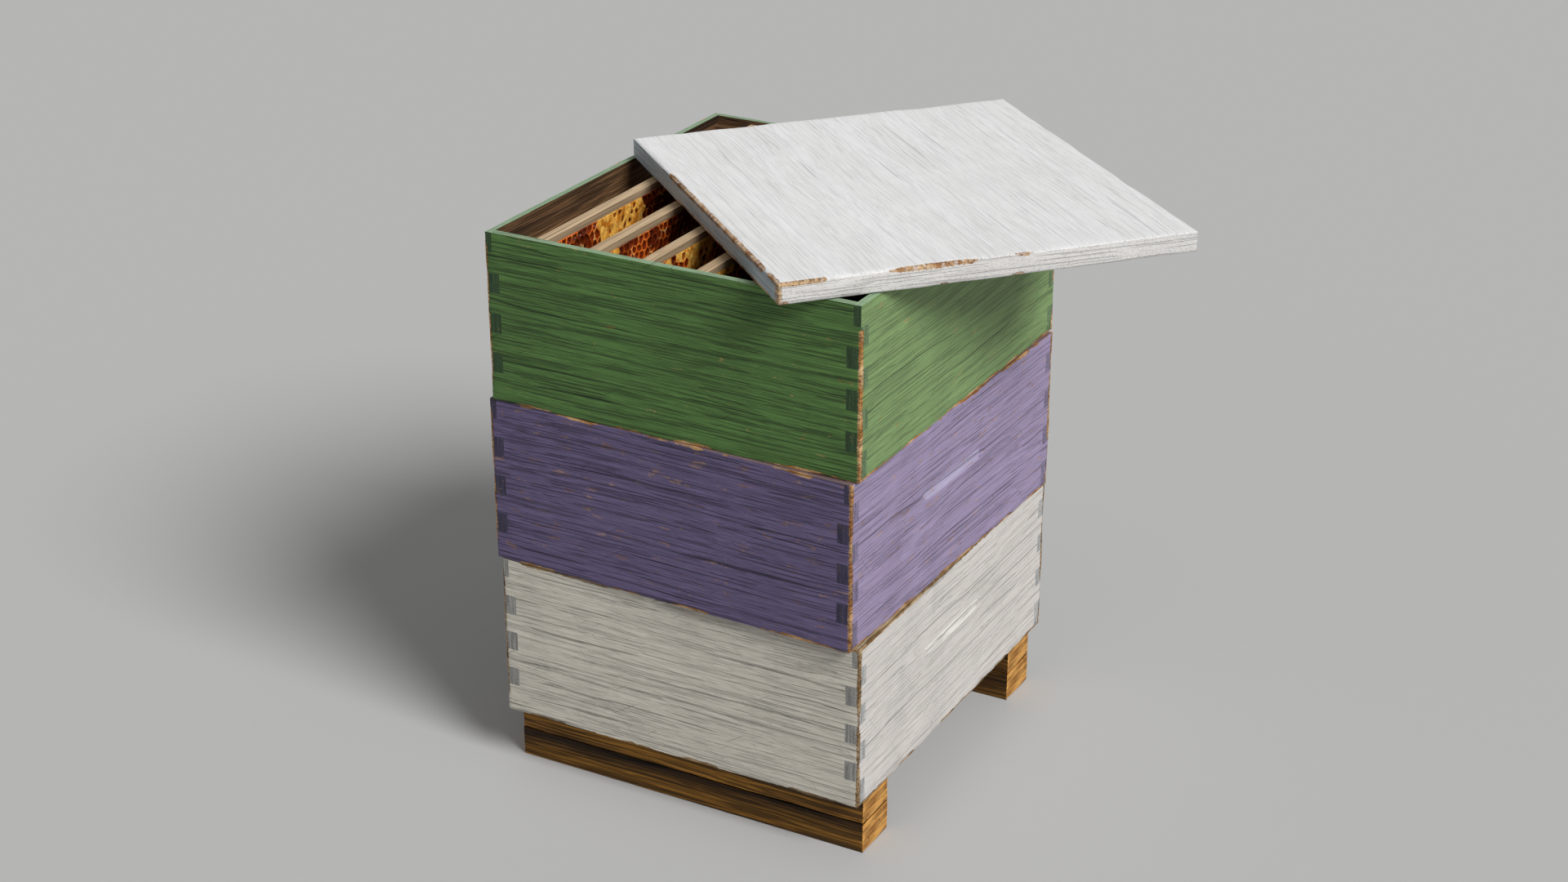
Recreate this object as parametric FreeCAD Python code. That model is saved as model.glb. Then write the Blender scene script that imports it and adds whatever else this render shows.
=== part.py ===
import FreeCAD, Part
import os
from FreeCAD import Placement, Rotation, Vector

# A stack of three loose hive boxes on two runners, with hanging frames of comb
# and a loose lid lying askew on top. Millimetres. +Z is up, -Y is the front, and
# the origin is at ground level, midway between the runners.

# ---- hive boxes ----
box_width = 470.0        # along X, outside
box_depth = 505.0        # along Y, outside
box_height = 202.0
wall = 17.4              # board thickness
rim = 9.2                # wall left outside the rebate round the top
finger = 23.9            # height of one finger of the corner joints
finger_count = 8         # the last finger, at the bottom, takes what height is left
box_names = ["bottom", "middle", "top"]
# How each box sits on the one below it: offset in X and Y, and turn about Z in degrees.
box_seats = {
    "bottom": (0.0, 0.0, 0.0),
    "middle": (0.2, -6.0, -1.43),
    "top": (1.0, -3.7, -0.33),
}

# ---- sloping hand grooves in the side boards, and the way in for the bees ----
groove_boxes = ["bottom", "middle"]
groove_length = 160.0
groove_height = 15.0
groove_depth = 9.0       # along the groove's top edge
groove_drop = 77.0       # from the box's top edge down to the groove
groove_shift = -10.0     # of the groove's middle, along Y
entrance_width = 150.0
entrance_height = 15.0

# ---- frames ----
frame_count = 6          # in each box
frame_pitch = 68.0
bar_width = 14.6
bar_thickness = 9.0
bar_drop = 3.5           # from the box's top edge down to the top bar
lug_clearance = 1.8      # between a top bar's end and the rim
end_bar_width = 22.0
end_bar_thickness = 9.0
end_bar_gap = 5.6        # between an end bar and the wall beside it
frame_foot = 13.0        # from the box's lower edge up to the bottom bar
comb_thickness = 20.0
comb_foot_gap = 5.0      # between the comb and the bottom bar

# ---- stand ----
runner_length = 462.0    # along X
runner_width = 63.0
runner_front = 230.0     # from the middle of the hive to a runner's outer face
lower_plank = 38.0
upper_plank = 34.5
floor_thickness = 6.0
floor_clearance = 1.0
screw_places = [-190.0, 0.0, 190.0]
screw_radius = 2.5
screw_head_radius = 5.0
screw_head_height = 3.0
screw_length = 60.0
screw_hole_gap = 0.05

# ---- lid ----
lid_width = 481.0
lid_length = 520.0
lid_thickness = 25.6
lid_round = 3.0
lid_centre = (126.7, 51.0)
lid_turn = 48.26         # degrees about Z, from square with the hive

# ---- worked out ----
half_width = box_width / 2
half_depth = box_depth / 2
stand_height = lower_plank + upper_plank
bar_ledge = bar_drop + bar_thickness
side_ledge = 2 * finger
box_floors = {name: stand_height + i * box_height for i, name in enumerate(box_names)}
stack_top = stand_height + len(box_names) * box_height


def block(x0, x1, y0, y1, z0, z1):
    corner = Vector(min(x0, x1), min(y0, y1), min(z0, z1))
    return Part.makeBox(abs(x1 - x0), abs(y1 - y0), abs(z1 - z0), corner)


def joined(pieces):
    return pieces[0].multiFuse(pieces[1:]).removeSplitter()


def finger_bands(first):
    """Heights of every second finger, counted down from the top edge."""
    bands = []
    for i in range(first, finger_count, 2):
        low = 0.0 if i == finger_count - 1 else box_height - (i + 1) * finger
        bands.append((low, box_height - i * finger))
    return bands


def end_board(side):
    """Front (side -1) or back (side 1) board, with a ledge for the top bars."""
    outer = side * half_depth
    inner = side * (half_depth - wall)
    thin = side * (half_depth - rim)
    pieces = [block(wall - half_width, half_width - wall, inner, outer, 0, box_height)]
    for low, high in finger_bands(1):
        pieces.append(block(-half_width, half_width, inner, outer, low, high))
    top_finger = box_height - finger
    pieces.append(block(rim - half_width, half_width - rim, inner, outer, top_finger, box_height))
    board = joined(pieces)
    ledge = box_height - bar_ledge
    return board.cut(block(-half_width, half_width, inner, thin, ledge, box_height))


def side_board(side):
    """Left (side -1) or right (side 1) board, thinner above its own ledge."""
    outer = side * half_width
    inner = side * (half_width - wall)
    thin = side * (half_width - rim)
    middle = half_depth - wall
    ledge = box_height - side_ledge
    top_finger, *fingers = finger_bands(0)
    pieces = [block(inner, outer, -middle, middle, 0, ledge)]
    pieces.append(block(thin, outer, -middle, middle, ledge, box_height))
    pieces.append(block(thin, outer, -half_depth, half_depth, *top_finger))
    for low, high in fingers:
        pieces.append(block(inner, outer, -half_depth, -middle, low, high))
        pieces.append(block(inner, outer, middle, half_depth, low, high))
    return joined(pieces)


def hand_groove(side):
    """Hand hold in the outside of a side board: deepest at its top, it slopes out to nothing below."""
    outer = side * half_width
    deepest = side * (half_width - groove_depth)
    top = box_height - groove_drop
    start = groove_shift - groove_length / 2
    outline = [Vector(outer, start, top - groove_height), Vector(deepest, start, top),
               Vector(outer, start, top)]
    end = Part.Face(Part.makePolygon(outline + outline[:1]))
    return end.extrude(Vector(0, groove_length, 0))


def entrance_notch():
    return block(-entrance_width / 2, entrance_width / 2, half_depth - wall, half_depth,
                 0, entrance_height)


def box_boards(name):
    boards = {
        "front": end_board(-1),
        "back": end_board(1),
        "left": side_board(-1),
        "right": side_board(1),
    }
    if name in groove_boxes:
        boards["left"] = boards["left"].cut(hand_groove(-1))
        boards["right"] = boards["right"].cut(hand_groove(1))
    if name == "bottom":
        boards["back"] = boards["back"].cut(entrance_notch())
    return boards


def frame_sticks(x):
    """Top bar, bottom bar and two end bars of one frame."""
    half_bar = bar_width / 2
    half_end = end_bar_width / 2
    bar_top = box_height - bar_drop
    bar_low = box_height - bar_ledge
    lug = half_depth - rim - lug_clearance
    end_outer = half_depth - wall - end_bar_gap
    end_inner = end_outer - end_bar_thickness
    sticks = [block(x - half_bar, x + half_bar, -lug, lug, bar_low, bar_top)]
    sticks.append(block(x - half_bar, x + half_bar, -end_inner, end_inner,
                        frame_foot, frame_foot + bar_thickness))
    for side in (-1, 1):
        sticks.append(block(x - half_end, x + half_end, side * end_inner, side * end_outer,
                            frame_foot, bar_low))
    return Part.makeCompound(sticks)


def frame_comb(x):
    """Plain slab of comb filling a frame, just clear of its bottom bar."""
    reach = half_depth - wall - end_bar_gap - end_bar_thickness
    low = frame_foot + bar_thickness + comb_foot_gap
    high = box_height - bar_ledge
    return block(x - comb_thickness / 2, x + comb_thickness / 2, -reach, reach, low, high)


def frame_places():
    first = -(frame_count - 1) / 2
    return [(first + i) * frame_pitch for i in range(frame_count)]


def stand_screw(x, y):
    head = Part.makeCone(screw_head_radius, screw_radius, screw_head_height, Vector(x, y, 0))
    shank = Part.makeCylinder(screw_radius, screw_length - screw_head_height,
                              Vector(x, y, screw_head_height))
    return head.fuse(shank).removeSplitter()


def screw_hole(x, y):
    """The screw's own shape, opened out by the clearance round it."""
    gap = screw_hole_gap
    head = Part.makeCone(screw_head_radius + gap, screw_radius + gap, screw_head_height,
                         Vector(x, y, 0))
    shank = Part.makeCylinder(screw_radius + gap, screw_length - screw_head_height + gap,
                              Vector(x, y, screw_head_height))
    return head.fuse(shank)


def runner_planks(side):
    """Lower and upper plank of the front (side -1) or rear (side 1) runner."""
    half = runner_length / 2
    outer = side * runner_front
    inner = side * (runner_front - runner_width)
    lower = block(-half, half, inner, outer, 0, lower_plank)
    upper = block(-half, half, inner, outer, lower_plank, stand_height)
    for x in screw_places:
        hole = screw_hole(x, (inner + outer) / 2)
        lower = lower.cut(hole)
        upper = upper.cut(hole)
    return lower, upper


def stand_screws():
    y = runner_front - runner_width / 2
    return Part.makeCompound([stand_screw(x, side * y) for side in (-1, 1) for x in screw_places])


def floor_panel():
    """Thin board on the runners, just inside the walls of the lowest box."""
    half_x = half_width - wall - floor_clearance
    half_y = half_depth - wall - floor_clearance
    return block(-half_x, half_x, -half_y, half_y, stand_height, stand_height + floor_thickness)


def lid():
    board = block(-lid_width / 2, lid_width / 2, -lid_length / 2, lid_length / 2,
                  0, lid_thickness)
    return board.makeFillet(lid_round, board.Edges)


def seated(shape, name):
    """Puts a shape drawn in a box's own frame where that box stands in the stack."""
    x, y, turn = box_seats[name]
    shape.Placement = Placement(Vector(x, y, box_floors[name]), Rotation(Vector(0, 0, 1), turn))
    return shape


def all_parts():
    parts = {}
    for name, side in (("front", -1), ("rear", 1)):
        lower, upper = runner_planks(side)
        parts[f"{name}_runner_lower_plank"] = lower
        parts[f"{name}_runner_upper_plank"] = upper
    parts["runner_screws"] = stand_screws()
    parts["floor_panel"] = floor_panel()
    for box in box_names:
        for board, shape in box_boards(box).items():
            parts[f"{box}_box_{board}"] = seated(shape, box)
        for number, x in enumerate(frame_places(), start=1):
            parts[f"{box}_frame_{number}"] = seated(frame_sticks(x), box)
            parts[f"{box}_comb_{number}"] = seated(frame_comb(x), box)
    board = lid()
    board.Placement = Placement(Vector(*lid_centre, stack_top),
                                Rotation(Vector(0, 0, 1), lid_turn))
    parts["lid"] = board
    return parts


os.makedirs("parts", exist_ok=True)
for node, shape in all_parts().items():
    shape.exportStep(f"parts/{node}.step")
    print(node, len(shape.Solids), round(shape.Volume), shape.isValid())
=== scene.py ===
import math

import bmesh
import bpy
from mathutils import Matrix, Vector, noise


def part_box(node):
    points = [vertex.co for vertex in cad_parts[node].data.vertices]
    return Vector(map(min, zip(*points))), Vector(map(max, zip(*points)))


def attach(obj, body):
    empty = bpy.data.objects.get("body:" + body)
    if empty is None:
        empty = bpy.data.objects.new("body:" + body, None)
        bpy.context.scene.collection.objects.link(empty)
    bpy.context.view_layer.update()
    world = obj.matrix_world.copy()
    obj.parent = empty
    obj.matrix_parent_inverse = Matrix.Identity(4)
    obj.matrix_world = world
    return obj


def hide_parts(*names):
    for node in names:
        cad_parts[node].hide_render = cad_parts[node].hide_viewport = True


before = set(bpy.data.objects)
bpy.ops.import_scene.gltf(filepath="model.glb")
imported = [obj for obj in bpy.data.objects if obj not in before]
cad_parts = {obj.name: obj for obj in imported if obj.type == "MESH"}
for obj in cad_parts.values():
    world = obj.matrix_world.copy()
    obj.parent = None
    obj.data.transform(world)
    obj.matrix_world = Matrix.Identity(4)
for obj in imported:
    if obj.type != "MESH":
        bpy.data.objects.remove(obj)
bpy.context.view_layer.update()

# Metres, unless a name says otherwise. Places come from the frame.
BOXES = ("bottom", "middle", "top")
SIDES = ("front", "back", "left", "right")
SLOTS = {"bottom": "white_paint", "middle": "purple_paint", "top": "green_paint"}
FRAMES_PER_BOX = 6
FINGER = 0.0239          # height of one finger of the corner joints
GROOVE_DEPTH = 0.0092    # a little more than the hand grooves have
GROOVE_RUN_OUT = 0.016   # along each end of a hand groove
STACK_GAP = 0.00005      # under each box, so that no two boxes share a face
CELL = 0.0104            # across one cell of the comb
CELL_DEPTH = 0.0036
CAP_DOME = 0.0006        # how far the wax over a full cell stands out
# The rings inside a cell, rim and then well: how wide each is, how far down it lies, and how much of
# the cell's depth it has as colour, as shares.
CELL_RINGS = ((0.80, 0.12, 0.25), (0.46, 1.0, 1.0))

# The camera's place round the hive, and the point that it looks at.
CAMERA_AZIMUTH = 28.69   # degrees
CAMERA_ELEVATION = 24.23
CAMERA_DISTANCE = 3.137
CAMERA_LENS = 60.63      # millimetres
CAMERA_SENSOR = 36.0     # millimetres
AIM_X = 0.0028
AIM_HEIGHT = 0.5533      # as a share of the height of the stack of boxes

# Each box's paint. faces, lines and ends are for the front and back first, and then for the sides.
# faces: the paint. On the purple and green boxes the front and back paint is a darker copy of the
# sides' paint, as painted shade, and so, in part, is the end grain that shows there.
# lines: how light it stays in the grain's grooves, where 1 is no darker.
# ends: the end grain in the corner joints. rim: the top edge, the green one a paler copy of its
# paint,
# as painted light on the top. groove: paler paint on the hand grooves, a painted highlight on their
# slope.
# bare: the bare wood on the edges, at its darkest and at its palest.
# corner_wear: more wear on the near upright edge. 0 bares some of it, and 0.3 nearly all.
# bare_corner_to: how high up that edge the wood is bare, as a share of the box's height.
# top_wear: more wear on the top edge, or less if it is below 0.
# ledge_wear: still more on the right, where the box above leaves the top edge free.
# chip_limit: the lower it is, the more small chips show.
PAINTS = {
    "bottom": {
        "faces": ((0.652, 0.614, 0.532), (0.612, 0.578, 0.545)), "lines": (0.85, 0.92),
        "ends": ((0.30, 0.295, 0.28), (0.46, 0.46, 0.455)),
        "rim": (0.40, 0.33, 0.22), "groove": (0.69, 0.665, 0.625),
        "bare": ((0.17, 0.095, 0.035), (0.40, 0.28, 0.155)),
        "corner_wear": 0.12, "bare_corner_to": 1.0, "top_wear": 0.02, "ledge_wear": 0.34,
        "chip_limit": 0.675,
    },
    "middle": {
        "faces": ((0.140, 0.109, 0.216), (0.305, 0.247, 0.388)), "lines": (0.62, 0.80),
        "ends": ((0.052, 0.044, 0.086), (0.22, 0.185, 0.29)),
        "rim": (0.20, 0.135, 0.140), "groove": (0.385, 0.345, 0.485),
        "bare": ((0.25, 0.105, 0.028), (0.50, 0.30, 0.145)),
        "corner_wear": 0.34, "bare_corner_to": 1.0, "top_wear": -0.05, "ledge_wear": 0.0,
        "chip_limit": 0.600,
    },
    "top": {
        "faces": ((0.088, 0.184, 0.048), (0.190, 0.292, 0.115)), "lines": (0.60, 0.78),
        "ends": ((0.034, 0.074, 0.028), (0.14, 0.225, 0.105)),
        "rim": (0.30, 0.43, 0.27), "groove": (0.24, 0.35, 0.17),
        "bare": ((0.38, 0.165, 0.040), (0.62, 0.40, 0.20)),
        "corner_wear": 0.34, "bare_corner_to": 0.86, "top_wear": -0.20, "ledge_wear": 0.0,
        "chip_limit": 0.650,
    },
}

KEY_DIRECTION = Vector((0.72, -0.25, 0.66))   # from the hive to the light
KEY_STRENGTH = 0.98      # brightness of a white surface that faces it
KEY_SPREAD = 24.0        # degrees
SKY_STRENGTH = 0.29
FLOOR_COLOUR = (0.50, 0.50, 0.495)
FLOOR_REACH = 40.0


# ---- places ----

def points_of(*nodes):
    """All the corners of some CAD nodes."""
    return [v.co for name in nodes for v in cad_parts[name].data.vertices]


def points_inside(place, node):
    """A CAD node's corners, in a block's own frame."""
    inside = place.inverted()
    return [inside @ p for p in points_of(node)]


def standing(points, directions):
    """A block's own frame: its origin under its middle, X along the side between the first two of
    its corners. Each corner is the furthest point in one direction. Gives the frame's matrix, and
    half the block's width, half its depth and its height."""
    corners = [max(points, key=Vector((*direction, 0)).dot) for direction in directions]
    first, second, _, fourth = corners
    middle = sum(corners, Vector()) / 4
    low = min(p.z for p in points)
    along = second - first
    place = Matrix.Translation((middle.x, middle.y, low))
    place = place @ Matrix.Rotation(math.atan2(along.y, along.x), 4, "Z")
    size = Vector((along.xy.length / 2, (fourth - first).xy.length / 2,
                   max(p.z for p in points) - low))
    return place, size


def box_frame(box):
    points = points_of(*[f"{box}_box_{side}" for side in SIDES])
    return standing(points, ((-1, -1), (1, -1), (1, 1), (-1, 1)))


def lid_frame():
    """The lid's rounded corners hide its true ones, so its flat sides give its size."""
    place, size = standing(points_of("lid"), ((0, -1), (1, 0), (0, 1), (-1, 0)))
    reach = points_inside(place, "lid")
    return place, Vector((max(p.x for p in reach), max(p.y for p in reach), size.z))


def levels(points, axis):
    """The different places, along one axis, at which a shape made of blocks has corners."""
    return sorted({round(abs(p[axis]), 5) for p in points})


# ---- mesh tools ----

def cad_copy(node, inside):
    """The node's shape as whole flat faces, in its own frame."""
    mesh = bmesh.new()
    mesh.from_mesh(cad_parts[node].data)
    mesh.transform(inside)
    bmesh.ops.remove_doubles(mesh, verts=mesh.verts, dist=1e-5)
    bmesh.ops.dissolve_limit(mesh, angle_limit=math.radians(1), verts=mesh.verts,
                             edges=mesh.edges)
    return mesh


def stick(low, high):
    """A block between two corners."""
    mesh = bmesh.new()
    middle = (low + high) / 2
    size = Matrix.Diagonal((*(high - low), 1))
    bmesh.ops.create_cube(mesh, size=1, matrix=Matrix.Translation(middle) @ size)
    return mesh


def soften_edges(mesh, width, segments=2):
    """Rounds every outside edge."""
    sharp = math.radians(30)
    edges = [e for e in mesh.edges if e.is_manifold and e.calc_face_angle_signed(0) > sharp]
    bmesh.ops.bevel(mesh, geom=edges, offset=width, offset_type="OFFSET", segments=segments,
                    profile=0.5, affect="EDGES", clamp_overlap=True)


def slice_up(mesh, axis, places):
    """Cuts the faces at places along one axis, so that they can be shaped."""
    normal = Vector((0, 0, 0))
    normal[axis] = 1
    for place in places:
        everything = mesh.verts[:] + mesh.edges[:] + mesh.faces[:]
        bmesh.ops.bisect_plane(mesh, geom=everything, plane_co=normal * place,
                               plane_no=normal, dist=1e-6)


def spread(low, high, step):
    """Even places between low and high, about a step apart."""
    count = max(1, round((high - low) / step))
    return [low + (high - low) * (i + 0.5) / count for i in range(count)]


def both_ends(half, near):
    """Places at these distances from both ends of a side that runs from -half to half."""
    return [side * (half - gap) for gap in near for side in (-1, 1)]


def patchy(point, scale, seed):
    """Smooth noise from 0 to 1."""
    return 0.5 + 0.5 * noise.noise(point * scale + Vector((seed, 1.7 * seed, -seed)))


def wear_edges(mesh, size, depth, reach, seed):
    """Rubs a block's outer edges down, more in some places than in others."""
    for v in mesh.verts:
        p = v.co
        gaps = (size.x - abs(p.x), size.y - abs(p.y), min(p.z, size.z - p.z))
        inwards = (-math.copysign(1, p.x), -math.copysign(1, p.y),
                   math.copysign(1, size.z / 2 - p.z))
        first, second = sorted(range(3), key=lambda axis: gaps[axis])[:2]
        away = gaps[first] + gaps[second]
        if away < reach:
            rough = 0.25 + 1.5 * patchy(p, 22, seed) ** 3 + 0.5 * patchy(p, 130, seed) ** 2
            amount = depth * (1 - away / reach) ** 2 * rough
            v.co[first] += inwards[first] * amount
            v.co[second] += inwards[second] * amount


def ripple(mesh, depth, scale, seed):
    """The unevenness of weathered wood, inwards from the sawn surface."""
    mesh.normal_update()
    moves = [v.normal * -depth * patchy(v.co, scale, seed) for v in mesh.verts]
    for v, move in zip(mesh.verts, moves):
        v.co += move


def uneven_faces(mesh, size, depth, scale, seed):
    """As ripple, but on a box's outer faces only, so that the boards stay flush at their joints."""
    for v in mesh.verts:
        inwards = depth * patchy(v.co, scale, seed)
        for axis in (0, 1):
            if size[axis] - abs(v.co[axis]) < depth:
                v.co[axis] -= math.copysign(inwards, v.co[axis])


def new_object(name, data):
    """Puts a mesh, light or camera in the scene."""
    made = bpy.data.objects.new(name, data)
    bpy.context.scene.collection.objects.link(made)
    return made


def mesh_data(name, mesh):
    data = bpy.data.meshes.new(name)
    mesh.to_mesh(data)
    mesh.free()
    return data


def to_object(name, mesh, place, materials, shift):
    """Makes the mesh an object. shift moves the wood's pattern, so that no two pieces match."""
    for face in mesh.faces:
        face.smooth = True
    for edge in mesh.edges:
        edge.smooth = edge.calc_face_angle(0) < math.radians(28)
    data = mesh_data(name, mesh)
    values = data.attributes.new("shift", "FLOAT", "POINT").data
    values.foreach_set("value", [shift] * len(values))
    for material in materials:
        data.materials.append(material)
    piece = new_object(name, data)
    piece.matrix_world = place
    shading = piece.modifiers.new("even_shading", "WEIGHTED_NORMAL")
    shading.keep_sharp = True
    return piece


def stands_for(piece, body, slot, *nodes):
    """Puts a piece with the body it moves with, and hides the CAD nodes that it replaces. slot, what
    it is made of, is not used.
    """
    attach(piece, body)
    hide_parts(*nodes)


# ---- material tools ----

class Look:
    """A material being built. Each method adds nodes and gives back their output."""

    def __init__(self, name, roughness=0.6, specular=0.4):
        self.material = bpy.data.materials.new(name)
        self.material.use_nodes = True
        self.tree = self.material.node_tree
        self.shader = self.tree.nodes["Principled BSDF"]
        self.shader.inputs["Roughness"].default_value = roughness
        self.shader.inputs["Specular IOR Level"].default_value = specular

    def node(self, kind, values=None, **settings):
        made = self.tree.nodes.new(kind)
        for key, value in settings.items():
            setattr(made, key, value)
        for key, value in (values or {}).items():
            self.feed(made.inputs[key], value)
        return made

    def feed(self, socket, value):
        if isinstance(value, bpy.types.NodeSocket):
            self.tree.links.new(value, socket)
        elif socket.type == "RGBA":
            socket.default_value = (*value, 1)
        else:
            socket.default_value = value

    def math(self, operation, first, second=0.0):
        made = self.node("ShaderNodeMath", {0: first, 1: second}, operation=operation)
        return made.outputs[0]

    def times(self, first, second):
        return self.math("MULTIPLY", first, second)

    def plus(self, first, second):
        return self.math("ADD", first, second)

    def less(self, first, second):
        return self.math("SUBTRACT", first, second)

    def absolute(self, value):
        return self.math("ABSOLUTE", value)

    def total(self, *pairs):
        """The sum of values, each times its own weight."""
        first, *others = [self.times(value, weight) for value, weight in pairs]
        for other in others:
            first = self.plus(first, other)
        return first

    def least(self, first, second):
        return self.math("MINIMUM", first, second)

    def most(self, first, second):
        return self.math("MAXIMUM", first, second)

    def step(self, value, low, high, out_low=0.0, out_high=1.0):
        """Goes smoothly from out_low to out_high as value goes from low to high."""
        made = self.node("ShaderNodeMapRange", {
            "Value": value, "From Min": low, "From Max": high,
            "To Min": out_low, "To Max": out_high,
        }, interpolation_type="SMOOTHSTEP")
        return made.outputs["Result"]

    def mix(self, share, first, second, blend="MIX"):
        made = self.node("ShaderNodeMix", data_type="RGBA", blend_type=blend)
        self.feed(made.inputs[0], share)
        self.feed(made.inputs[6], first)
        self.feed(made.inputs[7], second)
        return made.outputs[2]

    def dim(self, colour, light):
        """The colour made darker or lighter by a grey factor."""
        made = self.node("ShaderNodeVectorMath", {0: colour, "Scale": light},
                         operation="SCALE")
        return made.outputs[0]

    def shade(self, colour, value, low, high, light_low, light_high):
        """The colour dimmed by one factor where value is low, and by another where it is high."""
        return self.dim(colour, self.step(value, low, high, light_low, light_high))

    def darken(self, colour, share, light):
        """The colour dimmed by light where share is 1, and left alone where it is 0."""
        return self.shade(colour, share, 0.0, 1.0, 1.0, light)

    def noise(self, vector, scale, detail=2.0, roughness=0.5):
        """Smooth noise from 0 to 1. scale is its repeats per metre along each axis."""
        space = self.node("ShaderNodeVectorMath", {0: vector, 1: scale}, operation="MULTIPLY")
        made = self.node("ShaderNodeTexNoise", {
            "Vector": space.outputs[0], "Scale": 1.0, "Detail": detail, "Roughness": roughness,
        })
        return made.outputs["Fac"]

    def attribute(self, name):
        made = self.node("ShaderNodeAttribute", attribute_name=name)
        return made.outputs["Fac"]

    def place(self):
        """Object coordinates, as a vector and as its three parts, and the surface's direction."""
        source = self.node("ShaderNodeTexCoord")
        vector = source.outputs["Object"]
        parts = self.node("ShaderNodeSeparateXYZ", {0: vector}).outputs
        facing = self.node("ShaderNodeSeparateXYZ", {0: source.outputs["Normal"]}).outputs
        return vector, parts, facing

    def grain_space(self, parts, along):
        """Coordinates that run along the grain and twice across it, in this piece's own wood."""
        order = {0: (0, 1, 2), 1: (1, 0, 2), 2: (2, 0, 1)}[along]
        shift = self.attribute("shift")
        moved = self.plus(parts[order[0]], shift)
        lifted = self.plus(parts[order[2]], self.times(shift, 0.37))
        made = self.node("ShaderNodeCombineXYZ", {0: moved, 1: parts[order[1]], 2: lifted})
        return made.outputs[0]

    def finish(self, colour, roughness, height, relief):
        """relief is how deep, in metres, a height of 1 is."""
        self.feed(self.shader.inputs["Base Color"], colour)
        self.feed(self.shader.inputs["Roughness"], roughness)
        bump = self.node("ShaderNodeBump", {"Height": height, "Distance": relief,
                                            "Strength": 1.0})
        self.feed(self.shader.inputs["Normal"], bump.outputs[0])
        return self.material


def wood_lines(look, space):
    """Patterns along the grain. The scales are repeats per metre, along it and then across it.
    hair and score are 1 in thin grooves and crack in long dark broken ones. fine, middling and
    broad are soft streaks."""
    bend = look.noise(space, (3.0, 9.0, 9.0), 1.0)
    sway = look.node("ShaderNodeCombineXYZ", {
        0: 0.0, 1: look.times(bend, 0.012), 2: look.times(bend, 0.012)})
    swayed = look.node("ShaderNodeVectorMath", {0: space, 1: sway.outputs[0]},
                       operation="ADD").outputs[0]
    fine = look.noise(swayed, (24.0, 1000.0, 1000.0), 1.0)
    middling = look.noise(swayed, (7.0, 440.0, 440.0), 1.5)
    crowded = look.noise(space, (5.0, 30.0, 30.0))
    broad = look.noise(swayed, (2.2, 34.0, 34.0))
    dark = look.noise(swayed, (2.2, 290.0, 290.0))
    broken = look.step(look.noise(swayed, (9.0, 60.0, 60.0)), 0.42, 0.56)
    score = look.times(look.step(middling, 0.37, 0.45, 1.0, 0.0),
                       look.step(crowded, 0.36, 0.60, 0.80, 1.10))
    return {
        "space": swayed, "fine": fine, "middling": middling, "broad": broad, "score": score,
        "hair": look.step(fine, 0.38, 0.50, 1.0, 0.0),
        "crack": look.times(look.step(dark, 0.64, 0.69), broken),
    }


# ---- materials ----

def side_gaps(look, parts, size):
    """How far in a point lies from a block's right or left side, and from its front or back."""
    return [look.less(size[axis], look.absolute(parts[axis])) for axis in (0, 1)]


def edge_gaps(look, parts, size):
    """Distances along the surface to a block's upright and level outer edges. The upright ones
    count for less on the right and left, where more paint has gone."""
    gap_x, gap_y = side_gaps(look, parts, size)
    gap_z = look.least(parts[2], look.less(size.z, parts[2]))
    upright = look.plus(gap_x, look.times(gap_y, 0.5))
    return upright, look.plus(gap_z, look.least(gap_x, gap_y))


def rubbed(look, vector, lines, edge, widest, more):
    """1 where the paint is gone near an edge: a ragged strip that comes and goes. edge is the
    distance to the edge, and more makes the bare stretches longer."""
    patches = look.plus(look.noise(vector, (15, 15, 15), 3.0), more)
    width = look.step(patches, 0.42, 0.66, -0.0012, widest)
    ragged = look.noise(lines["space"], (110, 480, 480), 3.0, 0.65)
    reach = look.plus(width, look.times(look.plus(ragged, -0.5), 0.0045))
    return look.step(look.less(edge, reach), -0.0005, 0.0005, 1.0, 0.0)


def bare_edge_colour(look, vector, lines, woods):
    """Wood that shows where the paint is gone, between its darkest and its palest colour."""
    tone = look.step(look.noise(vector, (45, 45, 45), 3.0), 0.35, 0.65)
    colour = look.mix(tone, *woods)
    return look.shade(colour, lines["middling"], 0.34, 0.58, 0.50, 1.15)


def dark_wood_colour(look, lines):
    """Unpainted wood that years in the hive have stained."""
    broad = look.step(lines["broad"], 0.36, 0.64)
    colour = look.mix(broad, (0.042, 0.021, 0.010), (0.185, 0.096, 0.042))
    colour = look.shade(colour, lines["middling"], 0.36, 0.60, 1.28, 0.50)
    return look.shade(colour, lines["fine"], 0.38, 0.64, 1.20, 0.70)


def joint_cracks(look, space, height):
    """Long thin splits that run out from between the fingers. They wander, and come and go."""
    wander = look.plus(look.noise(space, (2.4, 18.0, 18.0), 3.0), -0.5)
    level = look.plus(height, look.times(wander, 0.036))
    gap = look.math("PINGPONG", level, FINGER / 2)
    width = look.step(look.noise(space, (4.2, 40.0, 40.0)), 0.45, 0.62, -0.0008, 0.0009)
    return look.step(look.less(gap, width), -0.0003, 0.0004, 1.0, 0.0)


def scratches(look, parts, along, turn):
    """Fine scratches at an angle, in radians, to the grain."""
    across, up = math.sin(turn), math.cos(turn)
    run = look.plus(look.times(parts[along], up), look.times(parts[2], across))
    rise = look.less(look.times(parts[2], up), look.times(parts[along], across))
    space = look.node("ShaderNodeCombineXYZ", {0: run, 1: rise, 2: 0.3 * turn}).outputs[0]
    return look.step(look.noise(space, (16.0, 420.0, 1.0)), 0.715, 0.755)


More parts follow.
